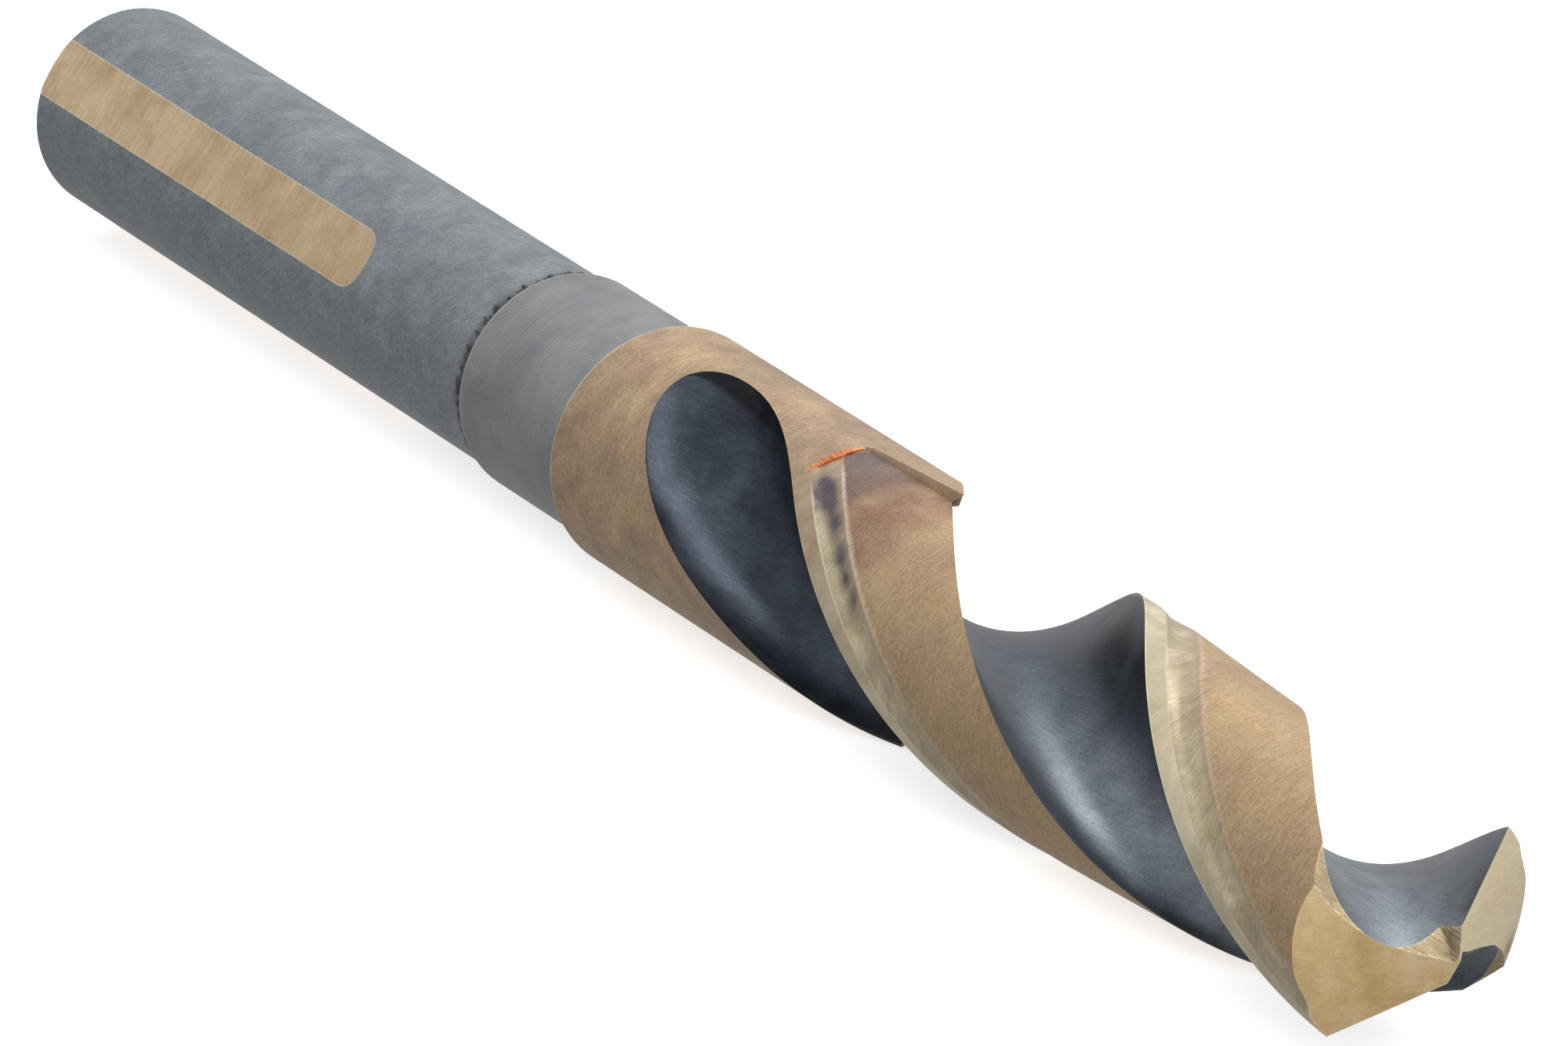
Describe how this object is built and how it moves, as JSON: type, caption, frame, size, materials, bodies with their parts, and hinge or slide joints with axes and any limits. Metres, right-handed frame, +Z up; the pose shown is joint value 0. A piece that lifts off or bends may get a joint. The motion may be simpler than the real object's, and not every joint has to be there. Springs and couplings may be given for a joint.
{
  "type": "reduced-shank twist drill",
  "caption": "Two-flute twist drill with a reduced three-flat shank, a turned neck, body clearance and a split point.",
  "frame": {"origin": "centre of the shank's flat end face, on the drill's axis", "axes": "+X along the drill's axis, from the shank's end face to the point; +Z up, square to the shank flat that faces straight down"},
  "size_m": [0.1528, 0.0146, 0.0146],
  "materials": {
    "black_oxide": "matte black oxide, slightly blue",
    "gold_oxide": "gold to bronze oxide, satin"
  },
  "bodies": {
    "root": {"shank": "black_oxide", "fluted_body": "gold_oxide"}
  },
  "joints": []
}
